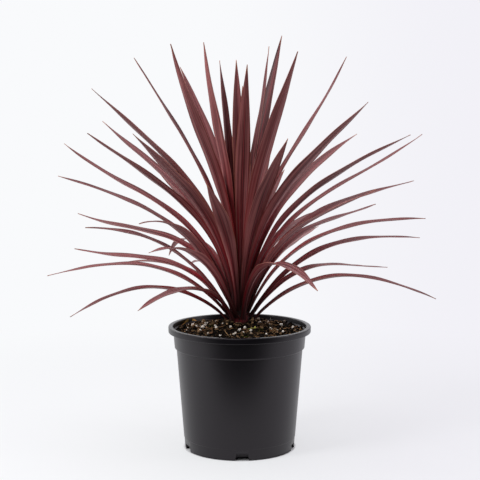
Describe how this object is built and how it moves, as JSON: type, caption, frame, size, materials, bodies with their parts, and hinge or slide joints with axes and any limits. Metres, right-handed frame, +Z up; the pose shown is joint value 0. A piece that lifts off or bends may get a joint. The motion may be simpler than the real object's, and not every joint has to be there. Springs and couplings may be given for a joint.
{
  "type": "potted red-leaved cabbage tree",
  "caption": "Young cordyline with long arching burgundy strap leaves, growing from a short stem in soil in a round black nursery pot with drain notches.",
  "frame": {"origin": "on the floor under the middle of the pot, which is also the middle of the leaves' spread", "axes": "+Z up along the stem, -Y towards the viewer of the picture, +X to that viewer's right"},
  "size_m": [0.5882, 0.5654, 0.637],
  "materials": {
    "pot_plastic": "satin",
    "potting_soil": "matte",
    "stem": "matte",
    "leaf": "satin"
  },
  "bodies": {
    "root": {"pot": "pot_plastic", "soil": "potting_soil", "stem": "stem", "leaf_crown_1": "leaf", "leaf_crown_2": "leaf", "leaf_crown_3": "leaf", "leaf_crown_4": "leaf", "leaf_crown_5": "leaf", "leaf_crown_6": "leaf", "leaf_crown_7": "leaf", "leaf_crown_8": "leaf", "leaf_crown_9": "leaf", "leaf_crown_10": "leaf", "leaf_crown_11": "leaf", "leaf_crown_12": "leaf", "leaf_crown_13": "leaf", "leaf_crown_14": "leaf", "leaf_crown_15": "leaf", "leaf_crown_16": "leaf", "leaf_crown_17": "leaf", "leaf_crown_18": "leaf", "leaf_left_1": "leaf", "leaf_left_2": "leaf", "leaf_left_3": "leaf", "leaf_left_4": "leaf", "leaf_left_5": "leaf", "leaf_left_6": "leaf", "leaf_left_7": "leaf", "leaf_left_8": "leaf", "leaf_left_9": "leaf", "leaf_left_10": "leaf", "leaf_left_11": "leaf", "leaf_left_12": "leaf", "leaf_left_13": "leaf", "leaf_left_14": "leaf", "leaf_left_15": "leaf", "leaf_right_1": "leaf", "leaf_right_2": "leaf", "leaf_right_3": "leaf", "leaf_right_4": "leaf", "leaf_right_5": "leaf", "leaf_right_6": "leaf", "leaf_right_7": "leaf", "leaf_right_8": "leaf", "leaf_right_9": "leaf", "leaf_right_10": "leaf", "leaf_right_11": "leaf", "leaf_right_12": "leaf", "leaf_right_13": "leaf", "leaf_back_1": "leaf", "leaf_back_2": "leaf", "leaf_back_3": "leaf", "leaf_back_4": "leaf", "leaf_back_5": "leaf", "leaf_back_6": "leaf", "leaf_back_7": "leaf", "leaf_back_8": "leaf", "leaf_back_9": "leaf", "leaf_back_10": "leaf"}
  },
  "joints": []
}
